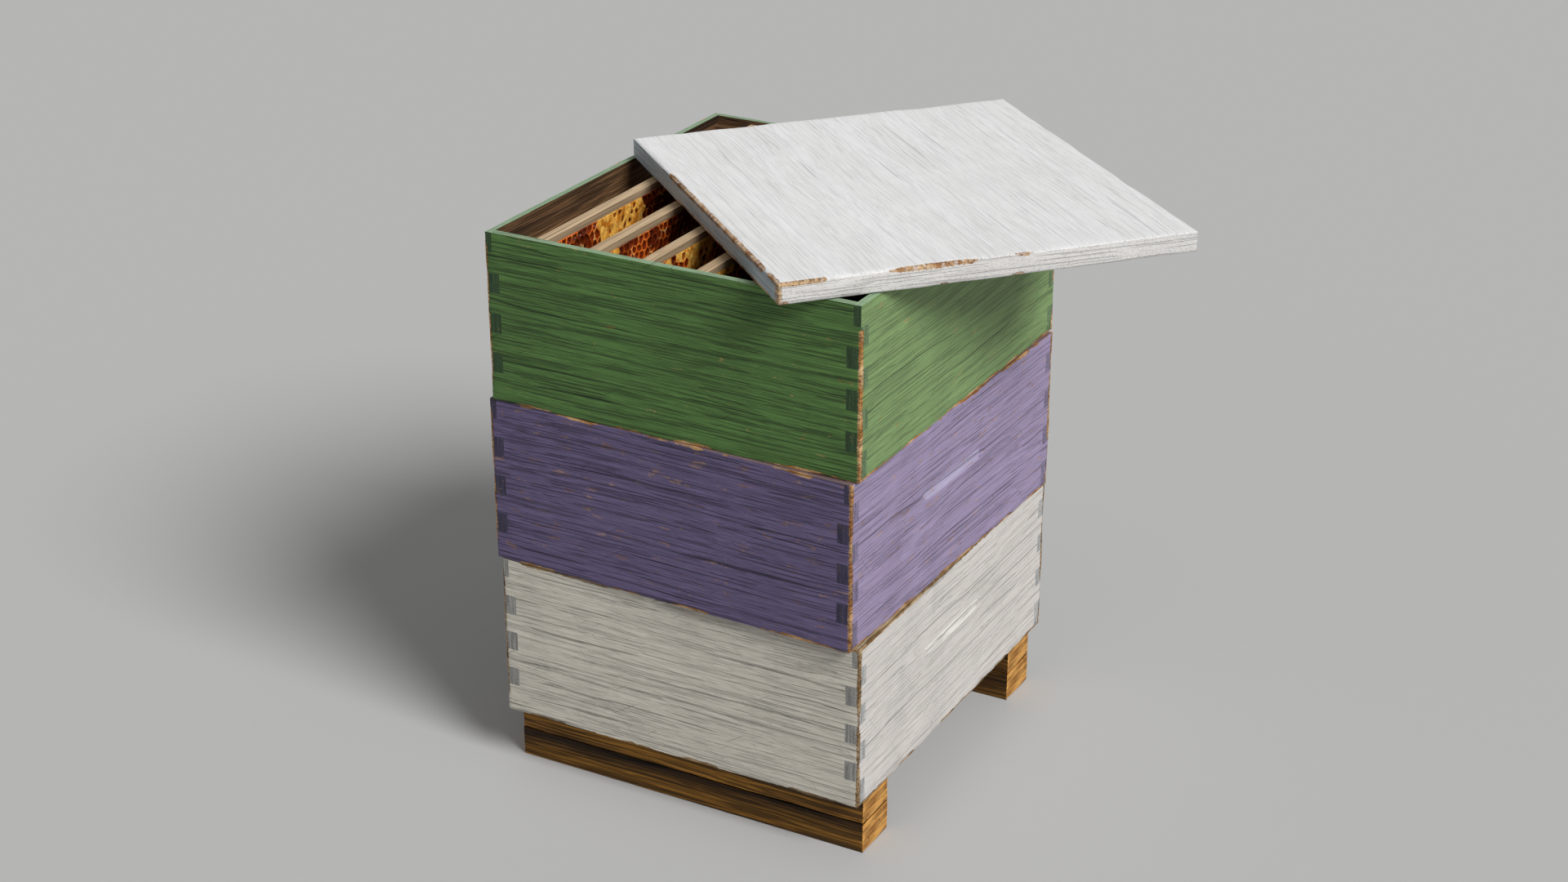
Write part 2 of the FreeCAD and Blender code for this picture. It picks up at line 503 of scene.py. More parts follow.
def paint_coat(look, vector, lines, paint, line):
    """Paint with brush streaks, stains that ran down it, the grain's grooves showing through, and
    painted highlights along the grain beside them.
    """
    stains = look.noise(vector, (12, 12, 2.0), 3.0, 0.6)
    blotches = look.noise(vector, (21, 21, 34), 4.0, 0.65)
    streak = tuple(0.97 * part for part in paint)
    colour = look.mix(look.step(lines["broad"], 0.34, 0.66), streak, paint)
    colour = look.shade(colour, stains, 0.52, 0.74, 1.0, 0.88)
    colour = look.shade(colour, blotches, 0.35, 0.70, 1.01, 0.98)
    colour = look.darken(colour, lines["score"], line)
    colour = look.darken(colour, lines["hair"], 0.45 + 0.6 * line)
    # Painted highlight: the lighter streaks stand for light on the edges of the grain's relief.
    return look.shade(colour, lines["middling"], 0.54, 0.66, 1.0, 1.6 - 0.6 * line)


def hand_groove(look, facing, outwards, inset):
    """1 on the slope of a hand groove, which looks outwards and up, behind the board's face."""
    sloping = look.times(look.step(facing[2], 0.22, 0.38), look.step(outwards, 0.5, 0.7))
    return look.times(sloping, look.step(inset, 0.0007, 0.0012))


def end_grain(look, facing, along, gap):
    """1 on the ends of the boards, which show in the corner joints. gap is the distance to where
    the board ends."""
    ends = look.step(look.absolute(facing[along]), 0.45, 0.75)
    return look.times(ends, look.step(gap, 0.006, 0.003))


def near_corner_wear(look, parts, paint, size):
    """More wear on the upright edge between the front and the right side, up to some height."""
    corner = size.x + size.y
    near = look.step(look.less(parts[0], parts[1]), corner - 0.05, corner - 0.03)
    top = size.z * paint["bare_corner_to"]
    below_top = look.step(parts[2], top - 0.001, top + 0.001, 1.0, -0.8)
    return look.times(look.times(near, below_top), paint["corner_wear"])


def top_edge_wear(look, parts, paint, size):
    """More or less wear on the top edge, with a share for the front half of the right side, where
    the box above is set back."""
    high_up = look.step(parts[2], size.z - 0.008, size.z - 0.007)
    on_right = look.times(look.step(parts[0], size.x - 0.014, size.x - 0.010),
                          look.step(parts[1], 0.08, -0.06))
    top = look.plus(look.times(on_right, paint["ledge_wear"]), paint["top_wear"])
    return look.times(high_up, top)


def worn_paint(look, vector, parts, lines, paint, size):
    """How bare the wood is: in strips along the box's edges, and in small chips."""
    upright, level = edge_gaps(look, parts, size)
    corner = look.plus(near_corner_wear(look, parts, paint, size), 0.12)
    edges = look.plus(top_edge_wear(look, parts, paint, size), 0.06)
    worn = look.most(
        rubbed(look, vector, lines, upright, widest=0.0034, more=corner),
        rubbed(look, vector, lines, level, widest=0.0042, more=edges))
    chips = look.noise(lines["space"], (34, 110, 110), 4.0, 0.7)
    limit = paint["chip_limit"]
    return look.most(worn, look.step(chips, limit, limit + 0.035, 0.0, 0.36))


def inside_box(look, facing, outwards, inset):
    """1 on the bare wood inside a box, and on the ledges that the frames hang on."""
    ledge = look.times(look.step(inset, 0.0090, 0.0094), look.step(facing[2], 0.4, 0.7))
    return look.most(look.step(outwards, -0.35, -0.60), ledge)


def painted_wood(name, paint, size, along):
    """Weathered paint on a box's boards, whose grain runs along one axis. size is the whole box's."""
    look = Look(name, specular=0.3)
    across = 1 - along
    line = paint["lines"][along]
    vector, parts, facing = look.place()
    lines = wood_lines(look, look.grain_space(parts, along))
    gaps = side_gaps(look, parts, size)
    inset = look.least(*gaps)
    outwards = look.times(facing[across], look.math("SIGN", parts[across]))

    # The outer face, with paler paint as a painted highlight on the hand groove's slope, and the top
    # rim.
    # Painted shade: on the purple and green boxes the front and back get a darker copy of the sides'
    # paint.
    colour = paint_coat(look, vector, lines, paint["faces"][along], line)
    # Painted highlight: the groove's upward slope gets paint paler than the face's.
    in_groove = hand_groove(look, facing, outwards, inset)
    colour = look.mix(look.times(in_groove, 0.85), colour, paint["groove"])
    # Painted light: the green box's rim paint is a paler copy of its side paint, standing for light
    # on the top.
    rim = look.shade(paint["rim"], lines["fine"], 0.36, 0.60, 1.08, 0.88)
    colour = look.mix(look.step(facing[2], 0.5, 0.8), colour, rim)

    # The end grain, and splits and scratches in the rest.
    ends = end_grain(look, facing, along, gaps[along])
    streaks = look.noise(vector, (430, 430, 24), 3.0, 0.6)
    end_colour = look.shade(paint["ends"][across], streaks, 0.38, 0.62, 1.20, 0.72)
    colour = look.mix(ends, colour, end_colour)
    splits = look.most(lines["crack"], joint_cracks(look, lines["space"], parts[2]))
    splits = look.times(splits, look.step(ends, 0.0, 1.0, 1.0, 0.0))
    colour = look.darken(colour, splits, line - 0.18)
    scratched = look.most(*[scratches(look, parts, along, turn) for turn in (0.55, -0.9)])
    colour = look.darken(colour, scratched, 0.80)

    # Bare wood, outside where the paint has gone and all over the inside.
    worn = worn_paint(look, vector, parts, lines, paint, size)
    colour = look.mix(worn, colour, bare_edge_colour(look, vector, lines, paint["bare"]))
    inside = inside_box(look, facing, outwards, inset)
    colour = look.mix(inside, colour, dark_wood_colour(look, lines))

    height = look.total((lines["score"], -0.9), (lines["hair"], -0.35),
                        (look.times(ends, streaks), 1.4), (splits, -1.2), (scratched, -0.4),
                        (worn, -0.7))
    roughness = look.step(look.plus(lines["fine"], worn), 0.3, 1.3, 0.58, 0.85)
    relief = 0.0011 if along == 0 else 0.0006
    return look.finish(colour, roughness, height, relief)


def lid_sides(look, facing, colour, layers):
    """The lid's paint on its sides: in long level lines and darker than the top, and on the left
    darker and bluer still, as painted shade.
    """
    lined = look.darken(look.mix(1.0, colour, (0.80, 0.78, 0.755), "MULTIPLY"), layers, 0.78)
    # Painted shade: the left side, which faces away from the light, is dimmed and turned bluish.
    painted_shade_left = look.mix(1.0, lined, (0.66, 0.75, 0.84), "MULTIPLY")
    return look.mix(look.step(facing[0], -0.5, -0.8), lined, painted_shade_left)


def lid_wear(look, vector, parts, lines, size):
    """How bare the lid's wood is: round its near corner, far along the edge to the left of that,
    and a little along the edge to the right."""
    from_left_edge = look.plus(parts[0], size.x)
    from_right_edge = look.plus(parts[1], size.y)
    on_left = look.times(look.step(from_left_edge, 0.016, 0.010),
                         look.step(from_right_edge, 0.42, 0.30, 0.0, 1.5))
    at_corner = look.step(from_left_edge, 0.080, 0.020)
    further = look.step(look.absolute(look.plus(from_left_edge, -0.17)), 0.085, 0.020)
    on_right = look.times(look.step(from_right_edge, 0.016, 0.010),
                          look.most(at_corner, look.times(further, 0.8)))
    on_level_edges = look.times(look.most(on_left, on_right),
                                look.step(parts[2], 0.4 * size.z, 0.6 * size.z, 0.5, 1.0))
    on_upright_edge = look.step(look.plus(from_left_edge, from_right_edge), 0.030, 0.016)

    upright, level = edge_gaps(look, parts, size)
    worn = look.most(
        rubbed(look, vector, lines, upright, widest=0.0056,
               more=look.step(on_upright_edge, 0.0, 1.0, -0.05, 0.6)),
        rubbed(look, vector, lines, level, widest=0.0060,
               more=look.step(on_level_edges, 0.0, 1.0, -0.10, 0.30)))
    left_over = look.step(look.noise(vector, (160, 160, 160), 3.0, 0.6), 0.50, 0.60, 1.0, 0.60)
    return look.times(worn, left_over)


def lid_paint(size):
    """White paint on the lid, with painted bluish shade on its left side, most worn at the near
    corner.
    """
    look = Look("lid_white", specular=0.3)
    vector, parts, facing = look.place()
    lines = wood_lines(look, look.grain_space(parts, 1))

    broad = look.step(lines["broad"], 0.34, 0.66)
    colour = look.mix(broad, (0.85, 0.845, 0.84), (0.88, 0.88, 0.88))
    blotches = look.noise(vector, (9, 14, 14), 4.0, 0.65)
    colour = look.shade(colour, blotches, 0.30, 0.70, 1.01, 0.98)
    colour = look.darken(colour, lines["score"], 0.93)
    colour = look.darken(colour, lines["hair"], 0.94)
    colour = look.darken(colour, lines["crack"], 0.86)
    layers = look.step(look.noise(vector, (10, 10, 560)), 0.38, 0.48, 1.0, 0.0)
    sides = look.step(look.absolute(facing[2]), 0.75, 0.45)
    colour = look.mix(sides, colour, lid_sides(look, facing, colour, layers))

    _, level = edge_gaps(look, parts, size)
    # Painted shade: the paint is dimmed close to the lid's edges, to hold down the highlight on their
    # rounding.
    colour = look.shade(colour, level, 0.0030, 0.0062, 0.88, 1.0)
    worn = lid_wear(look, vector, parts, lines, size)
    bare = ((0.27, 0.125, 0.045), (0.54, 0.36, 0.20))
    colour = look.mix(worn, colour, bare_edge_colour(look, vector, lines, bare))

    height = look.total((lines["score"], -0.4), (lines["hair"], -0.25),
                        (look.times(sides, layers), -0.9), (lines["crack"], -0.6), (worn, -0.6))
    roughness = look.step(look.plus(lines["fine"], worn), 0.3, 1.3, 0.55, 0.80)
    return look.finish(colour, roughness, height, 0.0005)


def runner_ends(look, vector):
    """The colour of a plank's sawn end, and the height of its fine level lines."""
    level = look.noise(vector, (40, 14, 330), 4.0, 0.65)
    rings = look.step(look.noise(vector, (40, 22, 55)), 0.35, 0.65)
    colour = look.mix(rings, (0.39, 0.165, 0.030), (0.66, 0.34, 0.085))
    return look.shade(colour, level, 0.38, 0.62, 1.10, 0.50), level


def runner_wood(size, tone):
    """Oiled timber with a strong dark grain. Its long sides are darker high up, as painted shade, and
    paler low down, as a painted highlight.
    """
    look = Look("runner_timber", specular=0.2)
    vector, parts, facing = look.place()
    lines = wood_lines(look, look.grain_space(parts, 0))

    broad = look.step(lines["broad"], 0.36, 0.64)
    colour = look.mix(broad, (0.060, 0.024, 0.004), (0.23, 0.105, 0.015))
    colour = look.shade(colour, lines["middling"], 0.36, 0.60, 1.5, 0.45)
    colour = look.shade(colour, lines["fine"], 0.38, 0.62, 1.2 * tone, 0.70 * tone)
    # Painted light and shade: darker towards the top of the plank and paler towards its bottom.
    colour = look.shade(colour, parts[2], 0.40 * size.z, 0.75 * size.z, 1.42, 0.68)
    ends = look.step(look.absolute(facing[0]), 0.45, 0.75)
    end_colour, end_lines = runner_ends(look, vector)
    colour = look.mix(ends, colour, end_colour)
    colour = look.darken(colour, lines["crack"], 0.35)
    edge = look.plus(look.least(*edge_gaps(look, parts, size)), look.times(lines["fine"], 0.004))
    colour = look.shade(colour, edge, 0.0022, 0.0048, 1.5, 1.0)

    height = look.total((lines["middling"], 0.8), (lines["fine"], 0.6),
                        (look.times(ends, end_lines), 0.5), (lines["crack"], -0.8))
    roughness = look.step(lines["fine"], 0.3, 0.7, 0.50, 0.72)
    return look.finish(colour, roughness, height, 0.0008)


def stick_wood(along):
    """Pale planed softwood, as the frames are made of."""
    look = Look(f"stick_wood_{'xyz'[along]}", specular=0.35)
    vector, parts, facing = look.place()
    lines = wood_lines(look, look.grain_space(parts, along))
    broad = look.step(lines["broad"], 0.34, 0.66)
    colour = look.mix(broad, (0.42, 0.28, 0.150), (0.62, 0.45, 0.275))
    colour = look.shade(colour, lines["middling"], 0.38, 0.66, 1.08, 0.76)
    colour = look.shade(colour, lines["fine"], 0.40, 0.72, 1.05, 0.82)
    # Painted shade: faces that don't look up are dimmed, as if in shadow beside the lit top.
    unshaded_top = look.step(facing[2], 0.2, 0.8)
    colour = look.shade(colour, unshaded_top, 0.0, 1.0, 0.55, 1.0)
    stains = look.step(look.noise(vector, (28, 9, 28), 3.0, 0.6), 0.50, 0.72)
    colour = look.mix(look.times(stains, 0.55), colour, (0.26, 0.12, 0.045))
    colour = look.darken(colour, lines["crack"], 0.6)
    height = look.total((lines["middling"], 0.6), (lines["fine"], 0.6))
    roughness = look.step(lines["fine"], 0.3, 0.7, 0.50, 0.70)
    return look.finish(colour, roughness, height, 0.0004)


def open_cell_colour(look, warm, smeared, deep, shade):
    """Amber walls round cells that darken with depth: the honey's own dark colour and painted shade.
    """
    rims = look.mix(warm, (0.13, 0.016, 0.004), (0.70, 0.150, 0.016))
    rims = look.mix(look.step(smeared, 0.56, 0.70), rims, (0.86, 0.47, 0.16))
    wells = look.mix(warm, (0.018, 0.002, 0.001), (0.12, 0.012, 0.003))
    wells = look.mix(look.times(shade, 0.35), wells, (0.26, 0.045, 0.006))
    # Partly painted shade: the colour goes from the rim to a near-black well as the cell gets deeper.
    return look.mix(look.step(deep, 0.08, 0.40), rims, wells)


def capped_cell_colour(look, warm, smeared, deep, shade):
    """Paler wax over full cells, with dark holes where it has been broken, darker with depth partly
    as painted shade.
    """
    wax = look.mix(shade, (0.68, 0.31, 0.035), (0.86, 0.52, 0.12))
    wax = look.mix(look.step(smeared, 0.46, 0.64), wax, (0.50, 0.17, 0.016))
    holes = look.mix(warm, (0.07, 0.010, 0.003), (0.26, 0.055, 0.008))
    return look.mix(look.step(deep, 0.15, 0.50), wax, holes)


def comb_wax():
    """Honeycomb. The mesh says how deep, how far capped and how pale each point of it is."""
    look = Look("honeycomb_wax", specular=0.45)
    vector, _, _ = look.place()
    deep = look.attribute("deep")
    shade = look.attribute("shade")
    warm = look.step(look.noise(vector, (38, 38, 38), 3.0, 0.6), 0.40, 0.62)
    mottled = look.noise(vector, (260, 260, 260), 3.0, 0.6)
    smeared = look.noise(vector, (75, 75, 75), 3.0, 0.6)
    colour = look.mix(look.step(look.attribute("capped"), 0.35, 0.60),
                      open_cell_colour(look, warm, smeared, deep, shade),
                      capped_cell_colour(look, warm, smeared, deep, shade))
    colour = look.shade(colour, mottled, 0.30, 0.70, 1.20, 0.70)

    look.shader.inputs["Coat Weight"].default_value = 0.35
    look.shader.inputs["Coat Roughness"].default_value = 0.10
    roughness = look.step(look.total((deep, 1.0), (mottled, 0.3)), 0.1, 0.9, 0.30, 0.08)
    height = look.total((mottled, 0.7), (smeared, 1.0))
    return look.finish(colour, roughness, height, 0.0007)


def plywood():
    """The floor panel, with thin plies on its edges and the bees' litter on it."""
    look = Look("floor_plywood", specular=0.3)
    vector, _, facing = look.place()
    lines = wood_lines(look, vector)
    colour = look.mix(look.step(lines["broad"], 0.3, 0.7), (0.34, 0.22, 0.12), (0.52, 0.36, 0.20))
    colour = look.shade(colour, lines["middling"], 0.36, 0.66, 1.1, 0.7)
    plies = look.noise(vector, (3, 3, 900), 1.0)
    sides = look.step(look.absolute(facing[2]), 0.7, 0.4)
    colour = look.mix(sides, colour, look.shade(colour, plies, 0.42, 0.58, 1.1, 0.5))
    litter = look.step(look.noise(vector, (70, 70, 70), 4.0, 0.7), 0.60, 0.72)
    colour = look.mix(look.times(litter, 0.7), colour, (0.12, 0.065, 0.03))
    height = look.total((lines["middling"], 1.0), (lines["fine"], 0.5))
    roughness = look.step(lines["fine"], 0.3, 0.7, 0.60, 0.80)
    return look.finish(colour, roughness, height, 0.0005)


def screw_steel():
    """Zinc-plated steel, spotted with rust."""
    look = Look("screw_zinc", specular=0.5)
    look.shader.inputs["Metallic"].default_value = 1.0
    vector, _, _ = look.place()
    spots = look.noise(vector, (420, 420, 420), 4.0, 0.65)
    rings = look.noise(vector, (60, 60, 2200), 1.0)
    colour = look.mix(look.step(spots, 0.45, 0.70), (0.62, 0.61, 0.57), (0.33, 0.23, 0.15))
    roughness = look.step(spots, 0.35, 0.70, 0.28, 0.62)
    height = look.total((spots, 1.0), (rings, 0.5))
    return look.finish(colour, roughness, height, 0.0002)


# ---- wooden pieces ----

def taper_groove(mesh, along, across, size):
    """The hand groove runs out at both ends, as the cutter was eased in and out of the board."""
    def in_groove(point):
        gap = size[across] - abs(point[across])
        return 0.0001 < gap < GROOVE_DEPTH and 0.3 < point.z / size.z < 0.8

    cut = [v for v in mesh.verts if in_groove(v.co) and abs(v.co[along]) < size[along] / 2]
    if cut:
        low = min(v.co[along] for v in cut)
        high = max(v.co[along] for v in cut)
        for v in cut:
            from_end = min(v.co[along] - low, high - v.co[along])
            gap = (size[across] - abs(v.co[across])) * min(1, from_end / GROOVE_RUN_OUT)
            v.co[across] = math.copysign(size[across] - gap, v.co[across])
        bmesh.ops.remove_doubles(mesh, verts=cut, dist=1e-5)
        bmesh.ops.dissolve_degenerate(mesh, edges=mesh.edges, dist=1e-6)


def painted_board(box, side, place, size, material, seed):
    """One board of a box: the CAD shape with worn edges and an uneven outer face."""
    mesh = cad_copy(f"{box}_box_{side}", place.inverted())
    along, across = (0, 1) if side in ("front", "back") else (1, 0)
    near_edge = (0.0022, 0.0050, 0.0090, 0.0135)
    slice_up(mesh, along, spread(-size[along], size[along], 0.010))
    taper_groove(mesh, along, across, size)
    slice_up(mesh, along, both_ends(size[along], near_edge))
    slice_up(mesh, across, both_ends(size[across], near_edge))
    slice_up(mesh, 2, spread(0, size.z, FINGER / 3))
    slice_up(mesh, 2, [gap for near in near_edge for gap in (near, size.z - near)])
    for v in mesh.verts:
        v.co.z = max(v.co.z, STACK_GAP)
    level = BOXES.index(box)
    wear_edges(mesh, size, depth=0.0009, reach=0.0075, seed=level * 3.1)
    uneven_faces(mesh, size, depth=0.0009, scale=26, seed=level * 2.3)
    piece = to_object(f"{box}_{side}_board", mesh, place, [material], seed)
    stands_for(piece, f"{box}_box", SLOTS[box], f"{box}_box_{side}")


def painted_boards(box, paint):
    """The four boards of a box, each with its own material."""
    place, size = box_frame(box)
    level = BOXES.index(box)
    for number, side in enumerate(SIDES):
        along = 0 if side in ("front", "back") else 1
        material = painted_wood(f"{box}_{side}_paint", paint, size, along)
        painted_board(box, side, place, size, material, seed=0.7 * number + level)


def lid():
    """A plain thick board, worn at its edges and a little uneven."""
    place, size = lid_frame()
    mesh = stick(Vector((-size.x, -size.y, 0)), size)
    soften_edges(mesh, 0.0022, segments=3)
    for axis in (0, 1):
        slice_up(mesh, axis, spread(-size[axis], size[axis], 0.010))
        slice_up(mesh, axis, both_ends(size[axis], (0.006, 0.010, 0.015)))
    slice_up(mesh, 2, spread(0, size.z, 0.0065))
    wear_edges(mesh, size, depth=0.0016, reach=0.010, seed=5.3)
    ripple(mesh, depth=0.0010, scale=16, seed=8.1)
    piece = to_object("white_lid", mesh, place, [lid_paint(size)], shift=1.9)
    stands_for(piece, "lid", "lid_paint", "lid")


def runner_plank(name, shift, tone):
    """One plank of a runner. tone is how light its wood is."""
    low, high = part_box(name)
    half = (high - low) / 2
    size = Vector((half.x, half.y, 2 * half.z))
    place = Matrix.Translation((low.x + half.x, low.y + half.y, low.z))
    mesh = stick(Vector((-half.x, -half.y, 0)), size)
    soften_edges(mesh, 0.0009, segments=3)
    slice_up(mesh, 0, spread(-half.x, half.x, 0.011))
    slice_up(mesh, 1, spread(-half.y, half.y, 0.008))
    slice_up(mesh, 2, spread(0, size.z, 0.006))
    wear_edges(mesh, size, depth=0.0008, reach=0.006, seed=shift)
    ripple(mesh, depth=0.0008, scale=34, seed=shift + 2)
    piece = to_object(f"{name}_timber", mesh, place, [runner_wood(size, tone)], shift)
    stands_for(piece, "stand", "runner_wood", name)


def add_stick(mesh, low, high, material_index, seed):
    """Adds one planed stick, slightly uneven, to a frame's mesh."""
    part = stick(low, high)
    soften_edges(part, 0.0011)
    long_axis = max(range(3), key=lambda axis: high[axis] - low[axis])
    slice_up(part, long_axis, spread(low[long_axis], high[long_axis], 0.012))
    ripple(part, depth=0.0006, scale=40, seed=seed)
    for face in part.faces:
        face.material_index = material_index
    data = mesh_data("stick", part)
    mesh.from_mesh(data)
    bpy.data.meshes.remove(data)


def hanging_frame(box, number, place, woods, seed):
    """A top bar whose ends rest on the box's ledges, two end bars and a bottom bar."""
    node = f"{box}_frame_{number}"
    points = points_inside(place, node)
    middle = sum(p.x for p in points) / len(points)
    centred = [p - Vector((middle, 0, 0)) for p in points]
    half_bar, half_end = levels(centred, 0)
    inner, outer, lug = levels(points, 1)
    foot, foot_top, bar_low, bar_top = levels(points, 2)
    mesh = bmesh.new()

    def bar(half_x, low_y, high_y, low_z, high_z, wood):
        low = Vector((middle - half_x, low_y, low_z))
        high = Vector((middle + half_x, high_y, high_z))
        add_stick(mesh, low, high, wood, seed + high_z + low_y)

    bar(half_bar, -lug, lug, bar_low, bar_top, 0)
    bar(half_bar, -inner, inner, foot, foot_top, 0)
    bar(half_end, -outer, -inner, foot, bar_low, 1)
    bar(half_end, inner, outer, foot, bar_low, 1)
    piece = to_object(f"{box}_hanging_frame_{number}", mesh, place, woods, seed)
    stands_for(piece, node, "frame_wood", node)


# ---- comb ----

def cell_grid(reach, low, high):
    """How many rows and columns of cells fill a rectangle, and how far apart they are."""
    rows = round((high - low) / (CELL * math.sqrt(3) / 2))
    columns = round(2 * reach / CELL)
    return rows, columns, 2 * reach / columns, (high - low) / rows


def cell_lattice(reach, low, high):
    """Six-sided cells that fill a rectangle: the corner numbers of each cell, the places of the
    corners, and the pairs of neighbouring corners round the outside."""
    rows, columns, step_y, step_z = cell_grid(reach, low, high)
    numbers, places, cells, uses = {}, [], [], {}
    for row in range(rows):
        for column in range(columns):
            centre_y = -reach + (column + 0.25 + 0.5 * (row % 2)) * step_y
            centre_z = low + (row + 0.5) * step_z
            ring = []
            for corner in range(6):
                turn = math.radians(30 + 60 * corner)
                y = centre_y + step_y / math.sqrt(3) * math.cos(turn)
                z = centre_z + step_z * (2 / 3) * math.sin(turn)
                key = (round(4 * y / step_y), round(6 * (z - low) / step_z))
                if key not in numbers:
                    numbers[key] = len(places)
                    places.append([y, z])
                ring.append(numbers[key])
            cells.append(ring)
            for a, b in zip(ring, ring[1:] + ring[:1]):
                uses.setdefault(frozenset((a, b)), []).append((a, b))
    border = [pairs[0] for pairs in uses.values() if len(pairs) == 1]
    return cells, places, border


def loosen_cells(places, border, reach, low, high, seed):
    """Fits the outside corners to the rectangle, and moves the others so that no cell is even."""
    _, _, step_y, step_z = cell_grid(reach, low, high)
    outside = {number for pair in border for number in pair}
    for number, (y, z) in enumerate(places):
        if number in outside:
            if abs(y) > reach - 0.55 * step_y:
                places[number][0] = math.copysign(reach, y)
            if z < low + 0.45 * step_z:
                places[number][1] = low
            if z > high - 0.45 * step_z:
                places[number][1] = high
        else:
            for axis in (0, 1):
                point = Vector((y, z, 3.0 * axis))
                drift = patchy(point, 45, seed) - 0.5 + 0.6 * (patchy(point, 310, seed + 4) - 0.5)
                places[number][axis] += 0.9 * CELL * drift


def cell_kind(point, seed):
    """How deep a cell is, how far it is capped with wax, how pale it is, and how wide its hole is."""
    field = patchy(point, 11, seed) + 0.34 * (patchy(point, 70, seed + 5) - 0.5)
    pale = patchy(point, 900, seed + 9)
    wide = patchy(point, 777, seed + 2)
    if field > 0.57:
        if patchy(point, 333, seed + 3) < 0.56:
            return 0.0, 1.0, pale, 1.0
        return 0.9, 0.6, pale, 0.45 + 0.6 * wide
    if patchy(point, 30, seed + 7) > 0.68:
        return 0.35, 0.0, pale, 1.0
    return 1.0, 0.0, pale, 0.80 + 0.32 * wide


class Comb:
    """A slab of comb being built. side is -1 on its left face and 1 on its right."""

    def __init__(self, middle, half_thick, seed):
        self.middle = middle
        self.half_thick = half_thick
        self.seed = seed
        self.verts = []
        self.faces = []
        self.values = {"deep": [], "capped": [], "shade": []}

    def surface(self, side, y, z):
        """How far out from the slab's middle its face is. It swells and dips."""
        point = Vector((side, y, z))
        swell = patchy(point, 14, self.seed) + 0.3 * patchy(point, 90, self.seed)
        return self.half_thick - 0.0005 - 0.0030 * swell

    def add(self, side, out, y, z, deep, capped, shade):
        """Adds a corner and gives its number."""
        self.verts.append((self.middle + side * out, y, z))
        self.values["deep"].append(deep)
        self.values["capped"].append(capped)
        self.values["shade"].append(shade)
        return len(self.verts) - 1

    def add_cell(self, side, ring, corners, kind):
        """Adds a rim and a well, or a domed cap, inside six corners that are there already."""
        deep, capped, pale, wide = kind
        centre_y = sum(y for y, _ in corners) / 6
        centre_z = sum(z for _, z in corners) / 6
        out = self.surface(side, centre_y, centre_z)
        for share, sunk, tone in CELL_RINGS:
            level = out + (CAP_DOME * tone if deep == 0 else -CELL_DEPTH * deep * sunk)
            inner = [
                self.add(side, level, centre_y + wide * share * (y - centre_y),
                         centre_z + wide * share * (z - centre_z), tone * deep, capped, pale)
                for y, z in corners]
            for i in range(6):
                j = (i + 1) % 6
                self.faces.append([ring[i], ring[j], inner[j], inner[i]][::side])
            ring = inner
        self.faces.append(ring[::side])

    def add_face(self, side, cells, places):
        """Adds one face of the slab, and gives the number of its first corner."""
        kinds = [cell_kind(Vector((side, *places[ring[0]])), self.seed + side) for ring in cells]
        caps = [[] for _ in places]
        for ring, kind in zip(cells, kinds):
            for number in ring:
                caps[number].append(kind[1])
        first = len(self.verts)
        for (y, z), shares in zip(places, caps):
            self.add(side, self.surface(side, y, z), y, z, 0.0, sum(shares) / len(shares), 0.5)
        for ring, kind in zip(cells, kinds):
            self.add_cell(side, [first + n for n in ring], [places[n] for n in ring], kind)
        return first

    def fill(self, reach, low, high):
        """Both faces, and the edge that joins them."""
        cells, places, border = cell_lattice(reach, low, high)
        loosen_cells(places, border, reach, low, high, self.seed)
        left, right = [self.add_face(side, cells, places) for side in (-1, 1)]
        for a, b in border:
            self.faces.append([left + a, left + b, right + b, right + a])


def honeycomb(box, number, place, wax, seed):
    """The wax and honey that fill a frame, within the CAD slab."""
    node = f"{box}_comb_{number}"
    points = points_inside(place, node)
    low = Vector(min(p[axis] for p in points) for axis in range(3))
    high = Vector(max(p[axis] for p in points) for axis in range(3))
    comb = Comb((low.x + high.x) / 2, (high.x - low.x) / 2, seed)
    comb.fill(high.y, low.z, high.z)
    data = bpy.data.meshes.new(f"{box}_honeycomb_{number}")
    data.from_pydata(comb.verts, [], comb.faces)
    for name, numbers in comb.values.items():
        data.attributes.new(name, "FLOAT", "POINT").data.foreach_set("value", numbers)
    data.polygons.foreach_set("use_smooth", [True] * len(comb.faces))
    data.materials.append(wax)
    piece = new_object(data.name, data)
    piece.matrix_world = place
    stands_for(piece, f"{box}_frame_{number}", "comb_wax", node)


# ---- the hive ----

for box in BOXES:
    painted_boards(box, PAINTS[box])
lid()
for end, lower_shift, upper_shift in (("front", 0.4, 1.7), ("rear", 3.0, 4.3)):
    runner_plank(f"{end}_runner_lower_plank", lower_shift, tone=0.58)
    runner_plank(f"{end}_runner_upper_plank", upper_shift, tone=0.90)

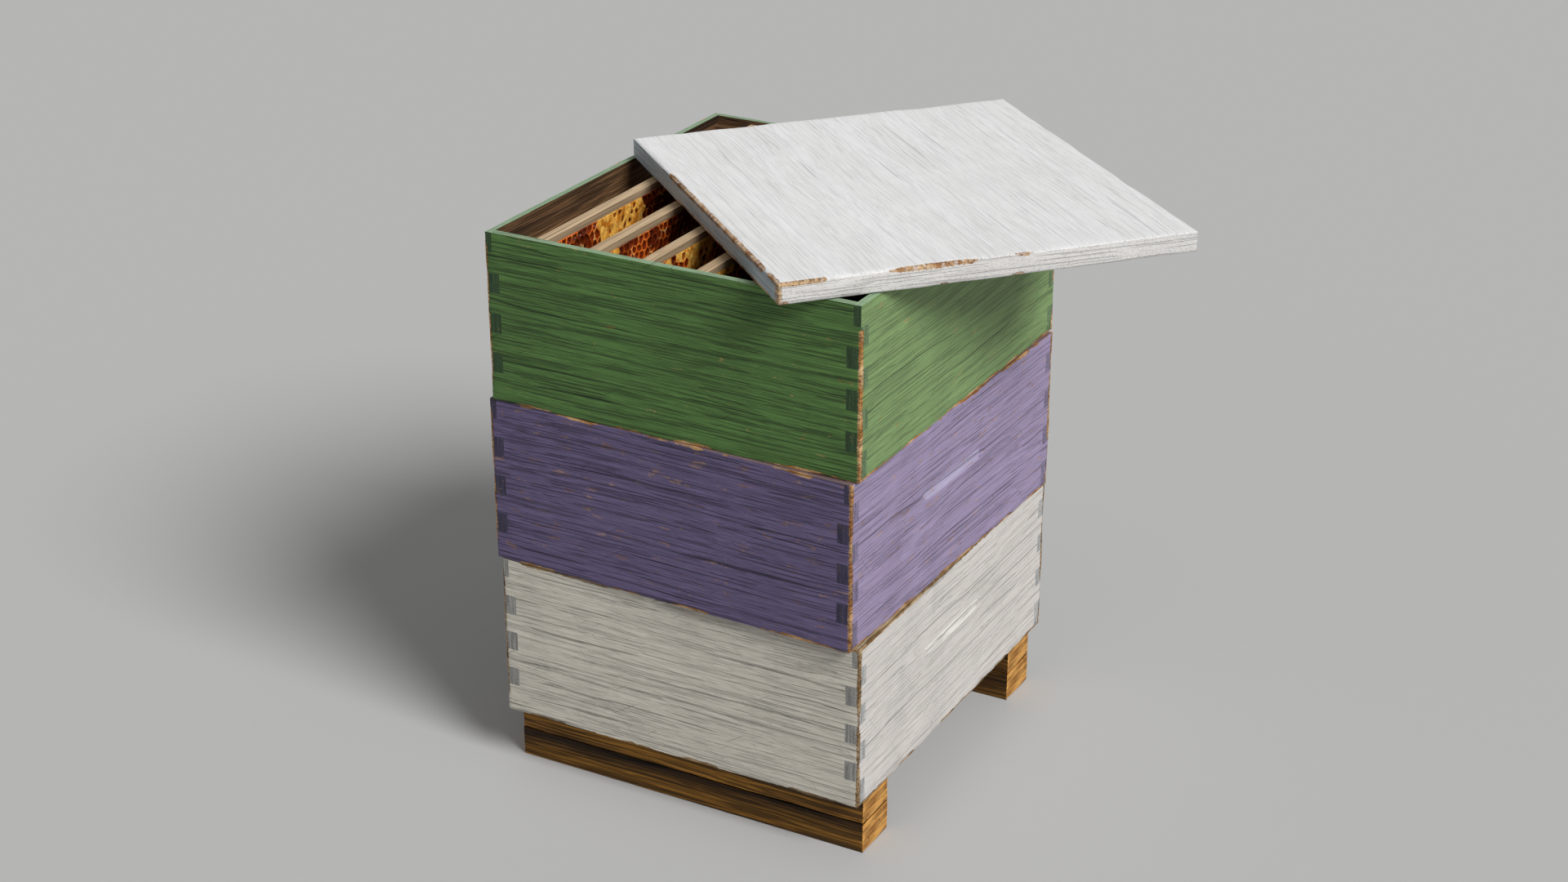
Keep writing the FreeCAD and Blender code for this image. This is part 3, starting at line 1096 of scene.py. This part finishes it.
woods = [stick_wood(1), stick_wood(2)]
wax = comb_wax()
for level, box in enumerate(BOXES):
    place, _ = box_frame(box)
    for number in range(1, FRAMES_PER_BOX + 1):
        seed = 10 * level + 1.37 * number
        hanging_frame(box, number, place, woods, seed)
        honeycomb(box, number, place, wax, seed)

for node, material in (("floor_panel", plywood()), ("runner_screws", screw_steel())):
    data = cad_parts[node].data
    data.materials.clear()
    data.materials.append(material)


# ---- floor, light and camera ----

def floor():
    """A plain floor that the hive stands on."""
    mesh = bmesh.new()
    bmesh.ops.create_grid(mesh, x_segments=1, y_segments=1, size=FLOOR_REACH)
    data = mesh_data("studio_floor", mesh)
    look = Look("studio_floor", roughness=0.9, specular=0.1)
    look.feed(look.shader.inputs["Base Color"], FLOOR_COLOUR)
    data.materials.append(look.material)
    piece = new_object("studio_floor", data)


def lights():
    """A soft light from the right, and an even sky."""
    sun = bpy.data.lights.new("key_light", "SUN")
    sun.energy = KEY_STRENGTH * math.pi
    sun.angle = math.radians(KEY_SPREAD)
    lamp = new_object("key_light", sun)
    lamp.rotation_euler = KEY_DIRECTION.to_track_quat("Z", "Y").to_euler()
    world = bpy.data.worlds.new("studio_sky")
    world.use_nodes = True
    sky = world.node_tree.nodes["Background"]
    sky.inputs["Color"].default_value = (1, 1, 1, 1)
    sky.inputs["Strength"].default_value = SKY_STRENGTH
    bpy.context.scene.world = world


def camera():
    """Looks at the hive from its front right, a little from above."""
    stack_top = max(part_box(f"top_box_{side}")[1].z for side in ("front", "left"))
    target = Vector((AIM_X, 0, AIM_HEIGHT * stack_top))
    turn = math.radians(CAMERA_AZIMUTH)
    rise = math.radians(CAMERA_ELEVATION)
    back = Vector((math.sin(turn) * math.cos(rise), -math.cos(turn) * math.cos(rise),
                   math.sin(rise)))
    data = bpy.data.cameras.new("camera")
    data.lens = CAMERA_LENS
    data.sensor_width = CAMERA_SENSOR
    eye = new_object("camera", data)
    eye.location = target + back * CAMERA_DISTANCE
    eye.rotation_euler = (-back).to_track_quat("-Z", "Y").to_euler()
    bpy.context.scene.camera = eye


floor()
lights()
camera()
bpy.context.scene.view_settings.view_transform = "Standard"
